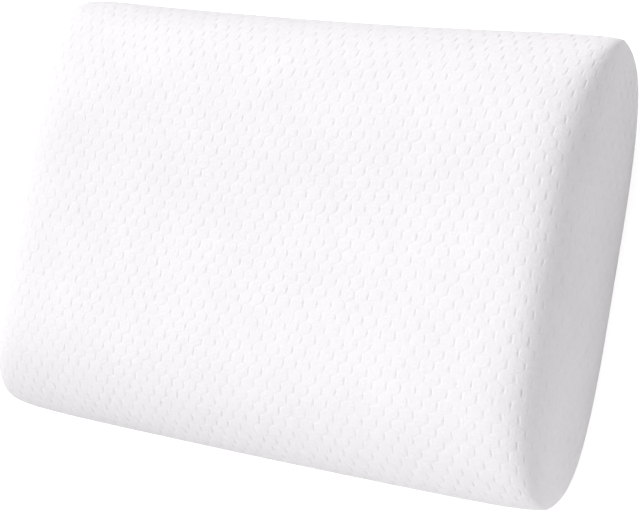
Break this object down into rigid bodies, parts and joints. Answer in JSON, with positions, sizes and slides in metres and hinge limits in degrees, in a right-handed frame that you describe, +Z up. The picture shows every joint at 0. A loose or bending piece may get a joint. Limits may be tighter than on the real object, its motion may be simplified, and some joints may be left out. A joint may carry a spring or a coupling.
{
  "type": "cervical pillow",
  "caption": "Contoured bed pillow that supports the neck: a lobe along each long side, a shallow valley between, pinched corners and a knitted cover.",
  "frame": {"origin": "centre of the bounding box's base, on the flat back that the pillow lies on", "axes": "+X along the length, +Y across the width from the neck side to the head side, +Z up out of the sleeping face"},
  "size_m": [0.6, 0.4, 0.131],
  "materials": {
    "cover": "white air-layer knit with a raised hexagon pattern, matt"
  },
  "bodies": {
    "root": {"pillow": "cover"}
  },
  "joints": []
}
